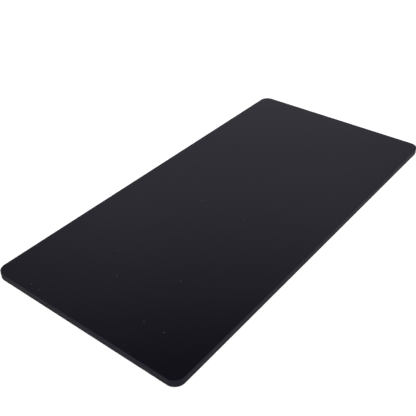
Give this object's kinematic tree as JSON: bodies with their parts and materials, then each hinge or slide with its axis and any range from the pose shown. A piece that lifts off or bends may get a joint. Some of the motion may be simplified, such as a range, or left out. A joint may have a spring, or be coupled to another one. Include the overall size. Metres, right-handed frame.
{
  "type": "kick plate",
  "caption": "Flat rectangular self-adhesive kick plate with rounded corners, a plain glossy black face, and taped strips with release liners on its back.",
  "frame": {"origin": "under the middle of the plate, in the plane of the liners' outer faces, which it lies on", "axes": "+X across the door, along the plate's length; +Y up the door, along its height; +Z out of the door, through the front face"},
  "size_m": [0.305, 0.15, 0.0056],
  "materials": {
    "black_acrylic": "gloss",
    "foam_tape": "matte",
    "release_liner": "satin"
  },
  "bodies": {
    "root": {"plate": "black_acrylic", "tape_top": "foam_tape", "tape_bottom": "foam_tape", "tape_left": "foam_tape", "tape_right": "foam_tape", "tape_middle": "foam_tape", "liner_top": "release_liner", "liner_bottom": "release_liner", "liner_left": "release_liner", "liner_right": "release_liner", "liner_middle": "release_liner"}
  },
  "joints": []
}
